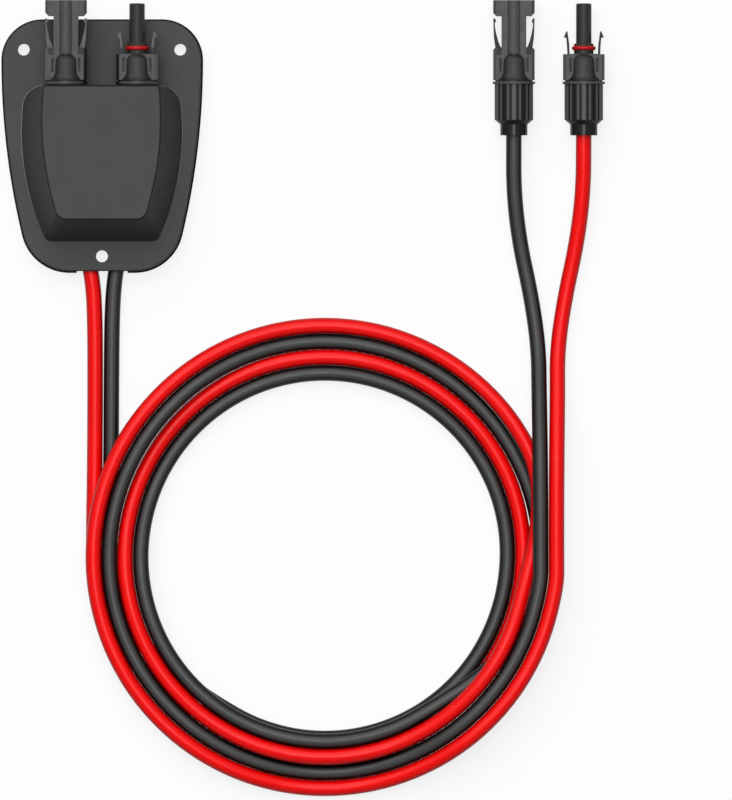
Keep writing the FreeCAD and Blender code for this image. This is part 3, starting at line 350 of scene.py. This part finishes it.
# The ribbed grip and the narrow tail of a gland nut, which get a painted highlight.
GRIP_RADIUS, GRIP_ALONG = (0.00898, 0.00918), (-0.0174, 0.0002)
TAIL_RADIUS, TAIL_ALONG = (0.00655, 0.0067), (-0.0248, -0.0194)


def linear(code):
    """The linear colour of an sRGB code such as 4a4a4a."""
    parts = [int(code[i:i + 2], 16) / 255.0 for i in (0, 2, 4)]
    return (*[p / 12.92 if p <= 0.04045 else ((p + 0.055) / 1.055) ** 2.4 for p in parts], 1.0)


class Finish:
    """A material under construction: a principled shader and the nodes that feed it."""

    def __init__(self, name, roughness, metallic=0.0, specular=0.5):
        self.material = bpy.data.materials.new(name)
        self.material.use_nodes = True
        self.nodes = self.material.node_tree.nodes
        self.links = self.material.node_tree.links
        self.shader = self.nodes["Principled BSDF"]
        self.shader.inputs["Metallic"].default_value = metallic
        self.shader.inputs["Specular IOR Level"].default_value = specular
        self.shader.inputs["Roughness"].default_value = roughness
        coordinates = self.nodes.new("ShaderNodeTexCoord").outputs
        self.place = coordinates["Object"]
        self.normal = coordinates["Normal"]
        self.height = None

    def math(self, operation, first, second=0.0):
        """One operation on two sockets or numbers."""
        node = self.nodes.new("ShaderNodeMath")
        node.operation = operation
        for socket, value in zip(node.inputs, (first, second)):
            if isinstance(value, float):
                socket.default_value = value
            else:
                self.links.new(value, socket)
        return node.outputs["Value"]

    def noise(self, scale, detail, stretch=(1.0, 1.0, 1.0)):
        """Noise with so many waves a metre, from 0 to 1."""
        mapping = self.nodes.new("ShaderNodeMapping")
        mapping.inputs["Scale"].default_value = stretch
        self.links.new(self.place, mapping.inputs["Vector"])
        texture = self.nodes.new("ShaderNodeTexNoise")
        texture.inputs["Scale"].default_value = scale
        texture.inputs["Detail"].default_value = detail
        self.links.new(mapping.outputs["Vector"], texture.inputs["Vector"])
        return texture.outputs["Fac"]

    def spread(self, value, low, high, to_low=0.0, to_high=1.0):
        """The value from low to high taken to the range from to_low to to_high."""
        node = self.nodes.new("ShaderNodeMapRange")
        node.inputs["From Min"].default_value = low
        node.inputs["From Max"].default_value = high
        node.inputs["To Min"].default_value = to_low
        node.inputs["To Max"].default_value = to_high
        self.links.new(value, node.inputs["Value"])
        return node.outputs["Result"]

    def between(self, value, low, high, soft=0.0001):
        """1 between low and high, 0 outside, with a soft edge; all in metres."""
        rise = self.spread(value, low - soft, low + soft)
        fall = self.spread(value, high - soft, high + soft, 1.0, 0.0)
        return self.math("MULTIPLY", rise, fall)

    def all_of(self, *masks):
        """The masks multiplied together."""
        result = masks[0]
        for mask in masks[1:]:
            result = self.math("MULTIPLY", result, mask)
        return result

    def blend(self, factor, first, second):
        """One colour where the factor is 0, the other where it is 1."""
        node = self.nodes.new("ShaderNodeMix")
        node.data_type = "RGBA"
        self.links.new(factor, node.inputs["Factor"])
        for socket, value in ((node.inputs["A"], first), (node.inputs["B"], second)):
            if isinstance(value, tuple):
                socket.default_value = value
            else:
                self.links.new(value, socket)
        return node.outputs["Result"]

    def about_axis(self, x, y, z):
        """The place beside the axis of a connector, signed and as a distance, the place along it from
        its collar's back, and the distances above and from the axis."""
        mapping = self.nodes.new("ShaderNodeMapping")
        mapping.inputs["Location"].default_value = (-x, -y, -z)
        self.links.new(self.place, mapping.inputs["Vector"])
        beside, along, above = self.parts(mapping.outputs["Vector"])
        across = self.math("ABSOLUTE", beside)
        upright = self.math("ABSOLUTE", above)
        squares = self.math("ADD", self.math("POWER", across, 2.0), self.math("POWER", upright, 2.0))
        return beside, across, along, upright, self.math("SQRT", squares)

    def parts(self, vector):
        """The X, Y and Z of a vector."""
        node = self.nodes.new("ShaderNodeSeparateXYZ")
        self.links.new(vector, node.inputs["Vector"])
        return node.outputs

    def cloudy(self, dark, light, scale):
        """Two near colours mixed by soft noise."""
        return self.blend(self.spread(self.noise(scale, 4.0), 0.3, 0.7), linear(dark), linear(light))

    def colour(self, value):
        self.links.new(value, self.shader.inputs["Base Color"])

    def rough(self, value):
        self.links.new(value, self.shader.inputs["Roughness"])

    def bump(self, value, depth):
        """Relief of the given depth in metres, laid over the relief so far."""
        node = self.nodes.new("ShaderNodeBump")
        node.inputs["Strength"].default_value = 1.0
        node.inputs["Distance"].default_value = depth
        self.links.new(value, node.inputs["Height"])
        if self.height is not None:
            self.links.new(self.height, node.inputs["Normal"])
        self.height = node.outputs["Normal"]
        self.links.new(self.height, self.shader.inputs["Normal"])


def box_plastic():
    """Matt textured plastic with painted light and shade: paler on its flats and darker on its slopes,
    darkest on the hood's lower slope, with a painted highlight along the base of the hood and painted shade
    under its crown and beside its upright face."""
    finish = Finish("box_plastic", 0.55, specular=0.1)
    facing = finish.parts(finish.normal)
    # Painted light and shade: the flats are painted paler and the slopes darker, as light from above falls
    # on them.
    painted_flat_light = finish.spread(facing["Z"], 0.72, 0.97)
    painted_shade_tone, painted_light_tone = finish.cloudy("383838", "3c3c3c", 60.0), finish.cloudy("484848", "4c4c4c", 60.0)
    colour = finish.blend(painted_flat_light, painted_shade_tone, painted_light_tone)
    place = finish.parts(finish.place)
    # Painted shade on the hood's lower slope, which faces away from the light.
    shaded = finish.spread(facing["Y"], -0.46, -0.54)
    colour = finish.blend(shaded, colour, finish.cloudy("2e2e2e", "323232", 60.0))
    # Painted shade: a dark band round the hood just under its crown.
    edge = finish.between(place["Z"], HIGH.z - 0.0016, HIGH.z - 0.0002, 0.0001)
    colour = finish.blend(edge, colour, linear("101010"))
    # Painted highlight: a pale line along the base of the hood, left off its flats and off the lower slope
    # that faces away from the light.
    painted_foot_highlight = finish.all_of(
        finish.between(place["Z"], FLANGE_TOP + 0.0001, FLANGE_TOP + 0.0006, 0.0001),
        finish.spread(facing["Z"], 0.997, 0.98),
        finish.spread(facing["Y"], -0.3, -0.1),
    )
    colour = finish.blend(painted_foot_highlight, colour, linear("909090"))
    # Painted shadow: a dark band across the crown beside the hood's upright face, by the connectors.
    painted_end_shadow = finish.all_of(
        finish.between(place["Y"], HOOD_END - 0.0012, HOOD_END + 0.0003, 0.0002),
        finish.between(place["Z"], HIGH.z - 0.003, HIGH.z + 0.0002, 0.0001),
    )
    finish.colour(finish.blend(painted_end_shadow, colour, linear("0c0c0c")))
    finish.rough(finish.spread(finish.noise(240.0, 5.0), 0.25, 0.75, 0.5, 0.64))
    finish.bump(finish.noise(2600.0, 2.0), 0.00003)
    return finish.material


def shell_plastic(name, place, painted_arm_tone, shaded_side):
    """A connector's shell: a dark barrel with painted shade on its sides and where it meets the neck,
    painted shade in the grooves and hollows, painted highlights along the collar's sides, black painted
    shade on the shaded side if there is one, and arms in the painted tone given."""
    finish = Finish(name, 0.42, specular=0.2)
    beside, across, along, upright, radius = finish.about_axis(*place)
    colour = finish.cloudy("424242", "484848", 140.0)
    # Painted highlight along the collar's sides; paler still on the two connectors on the box.
    edge = finish.all_of(finish.between(across, *COLLAR_RIM, 0.0003), finish.between(along, *COLLAR_FLANK))
    colour = finish.blend(edge, colour, linear("5c5c5c" if shaded_side else "505050"))
    if shaded_side:
        # Painted shade: black on the collar's side that faces the other connector.
        painted_shade = finish.spread(finish.math("MULTIPLY", beside, float(shaded_side)), *PAINTED_SHADE_BAND)
        painted_shade = finish.all_of(painted_shade, finish.between(along, *COLLAR))
        colour = finish.blend(painted_shade, colour, linear("0c0c0c"))
    barrel = finish.all_of(finish.spread(upright, *PROUD), finish.between(along, *BARREL))
    # The barrel keeps its own darker tone, with painted shade on its sides and where it meets the neck.
    painted_barrel_side_shade = finish.spread(across, *BARREL_SIDE)
    painted_barrel_cap_shade = finish.between(along, *BARREL_CAP, 0.0003)
    barrel_tone = finish.blend(finish.math("MAXIMUM", painted_barrel_side_shade, painted_barrel_cap_shade), linear("303030"), linear("0c0c0c"))
    colour = finish.blend(barrel, colour, barrel_tone)
    # Painted shade in the grooves beside the ridge.
    painted_groove_shade = finish.all_of(
        finish.between(across, *GROOVE_ACROSS), finish.between(along, *GROOVE_ALONG),
        finish.spread(upright, *GROOVE_DEPTH),
    )
    colour = finish.blend(painted_groove_shade, colour, linear("0c0c0c"))
    # Painted light and shade on the latch arms: pale on the connectors on the box, near black on the free
    # plugs.
    arm = finish.all_of(finish.between(across, *ARM_ACROSS), finish.between(along, *ARM_ALONG))
    colour = finish.blend(arm, colour, linear(painted_arm_tone))
    # Painted shade in the hollows beside the barrel, under the windows.
    painted_hollow_shade = finish.all_of(
        finish.spread(upright, *HOLLOW_DEPTH), finish.between(across, *HOLLOW_ACROSS),
        finish.between(along, *HOLLOW_ALONG),
    )
    colour = finish.blend(painted_hollow_shade, colour, linear("1e1e1e"))
    tube = finish.all_of(finish.spread(radius, *TUBE_RADIUS), finish.between(along, *TUBE_ALONG))
    colour = finish.blend(tube, colour, linear("282828"))
    finish.colour(colour)
    finish.rough(finish.spread(finish.noise(300.0, 5.0), 0.25, 0.75, 0.34, 0.5))
    finish.bump(finish.noise(3200.0, 2.0), 0.00002)
    return finish.material


def nut_plastic(name, place):
    """A ribbed nut: dark, with a painted highlight along the rib tops and round its tail."""
    finish = Finish(name, 0.38, specular=0.14)
    _, _, along, _, radius = finish.about_axis(*place)
    colour = finish.cloudy("0e0e0e", "131313", 150.0)
    # Painted highlight on the rib tops and round the tail.
    grip = finish.all_of(finish.spread(radius, *GRIP_RADIUS), finish.between(along, *GRIP_ALONG))
    tail = finish.all_of(finish.spread(radius, *TAIL_RADIUS), finish.between(along, *TAIL_ALONG))
    colour = finish.blend(finish.math("MAXIMUM", grip, tail), colour, linear("505050"))
    finish.colour(colour)
    finish.rough(finish.spread(finish.noise(300.0, 5.0), 0.25, 0.75, 0.3, 0.46))
    finish.bump(finish.noise(3200.0, 2.0), 0.00002)
    return finish.material


def rubber(name, dark, light, roughness):
    """Soft rubber: matt, with a faint bloom and a fine pitted skin."""
    finish = Finish(name, roughness, specular=0.25)
    finish.colour(finish.cloudy(dark, light, 130.0))
    finish.rough(finish.spread(finish.noise(420.0, 4.0), 0.2, 0.8, roughness - 0.05, roughness + 0.1))
    finish.bump(finish.noise(3400.0, 3.0), 0.00002)
    return finish.material


def foam(name):
    """Closed-cell foam: matt, with small cells cut open at its edge."""
    finish = Finish(name, 0.9, specular=0.05)
    cells = finish.nodes.new("ShaderNodeTexVoronoi")
    cells.inputs["Scale"].default_value = 1500.0
    finish.links.new(finish.place, cells.inputs["Vector"])
    depth = finish.spread(cells.outputs["Distance"], 0.0, 0.7)
    finish.colour(finish.blend(depth, linear("040404"), linear("0e0e0e")))
    finish.bump(depth, 0.00015)
    return finish.material


def tinned_metal(name):
    """Bright tinned copper: soft grey with fine turning marks along the axis."""
    finish = Finish(name, 0.24, metallic=1.0)
    marks = finish.noise(500.0, 4.0, (1.0, 14.0, 1.0))
    finish.colour(finish.blend(finish.spread(marks, 0.2, 0.8), linear("b4b2ac"), linear("d8d6d0")))
    finish.rough(finish.spread(marks, 0.2, 0.8, 0.18, 0.34))
    finish.bump(marks, 0.00001)
    return finish.material


def jacket(name, side, top, paling):
    """A lead's jacket: smooth extruded plastic with a faint waviness and fine grain. The sides and the
    top have two near tones each. The top is painted paler as a highlight and the sides darker as shade;
    paling is how far the surface has to face up, from 0 to 1, before the painted highlight begins."""
    roughness = 0.3
    finish = Finish(name, roughness, specular=0.18)
    facing = finish.parts(finish.normal)
    # Painted highlight on the top of the lead, painted shade on its sides.
    painted_top_light = finish.spread(facing["Z"], paling, 1.0)
    finish.colour(finish.blend(painted_top_light, finish.cloudy(*side, 45.0), finish.cloudy(*top, 45.0)))
    finish.rough(finish.spread(finish.noise(300.0, 4.0), 0.2, 0.8, roughness - 0.05, roughness + 0.07))
    finish.bump(finish.noise(120.0, 2.0), 0.00006)
    finish.bump(finish.noise(2800.0, 2.0), 0.000012)
    return finish.material


# The middle of each connector's collar back: across, along +Y and above the floor.
CONNECTORS = {
    "left_port": (-0.017, 0.0251, PORT_Z),
    "right_port": (0.017, 0.0251, PORT_Z),
    "red_plug": (0.231, 0.0253, 0.0102),
    "black_plug": (0.1975, 0.0253, 0.0102),
}
# The two on the box have a painted shade on the side that faces the other one.
SHADED_SIDES = {"left_port": 1, "right_port": -1}
MATERIALS = {
    "box_plastic": box_plastic(),
    "foam_gasket": foam("foam_gasket"),
    "black_rubber": rubber("black_rubber", "101010", "181818", 0.6),
    "red_rubber": rubber("red_rubber", "a80b10", "ba1216", 0.4),
    "tinned_contact": tinned_metal("tinned_contact"),
}


def finish_of(node):
    """The material of a node, by what the piece is."""
    if node == "box_shell":
        return MATERIALS["box_plastic"]
    if node == "base_gasket":
        return MATERIALS["foam_gasket"]
    if node.endswith("contact"):
        return MATERIALS["tinned_contact"]
    if node.endswith("seal_ring"):
        return MATERIALS["red_rubber"]
    if node.endswith(("gasket", "seal", "boot")):
        return MATERIALS["black_rubber"]
    connector = next(c for c in CONNECTORS if node.startswith(c))
    name, place = f"{node}_plastic", CONNECTORS[connector]
    if node.endswith("body"):
        # Painted arm tones: pale as lit on the box's connectors, near black as shaded on the free plugs.
        painted_arm_tone = "585858" if connector.endswith("port") else "0e0e0e"
        return shell_plastic(name, place, painted_arm_tone, SHADED_SIDES.get(connector, 0))
    return nut_plastic(name, place)


HIDDEN = ("red_lead_start", "red_lead_end", "lead_coil", "black_lead_start", "black_lead_end")
for name, node in NODES.items():
    if name in HIDDEN:
        continue
    material = finish_of(name)
    if not node.material_slots:
        node.data.materials.append(material)
    for material_slot in node.material_slots:
        material_slot.material = material
# Each jacket's side tones are painted shade, its top tones a painted highlight.
red_lead.data.materials.append(jacket("red_jacket", ("be0202", "ca0303"), ("fa0304", "ff0506"), 0.36))
black_lead.data.materials.append(jacket("black_jacket", ("080808", "0c0c0c"), ("424242", "484848"), 0.76))


# The flared roots of the latch arms on the two connectors with a broad head.

WEB_HALF_HEIGHT = 0.0044
# Beside and along the axis: up the inner side from the collar, and down the outer side.
WEB_PROFILE = (
    (0.0058, 0.0172), (0.0065, 0.0179), (0.0073, 0.0198), (0.008, 0.0222), (0.0087, 0.0252),
    (0.0092, 0.0282), (0.0096, 0.0282), (0.0096, 0.0235), (0.009, 0.0185), (0.0088, 0.0172),
)


def add_web(connector, side):
    """A root that widens from the arm into the collar, on the side of the axis given by 1 or -1."""
    x, y, z = CONNECTORS[connector]
    outline = [(x + side * beside, y + along) for beside, along in WEB_PROFILE[::-side]]
    count = len(outline)
    corners = [(a, b, z + level) for level in (-WEB_HALF_HEIGHT, WEB_HALF_HEIGHT) for a, b in outline]
    faces = [tuple(range(count - 1, -1, -1)), tuple(range(count, 2 * count))]
    faces += [(k, (k + 1) % count, (k + 1) % count + count, k + count) for k in range(count)]
    name = f"{connector}_web_{'right' if side > 0 else 'left'}"
    mesh = bpy.data.meshes.new(name)
    mesh.from_pydata(corners, [], faces)
    web = bpy.data.objects.new(name, mesh)
    bpy.context.collection.objects.link(web)
    mesh.materials.append(NODES[f"{connector}_body"].material_slots[0].material)
    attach(web, "root")


for connector in ("left_port", "black_plug"):
    for side in (1, -1):
        add_web(connector, side)


bpy.context.scene.view_settings.view_transform = "Standard"

# Bring the scene up to date.
bpy.context.view_layer.update()
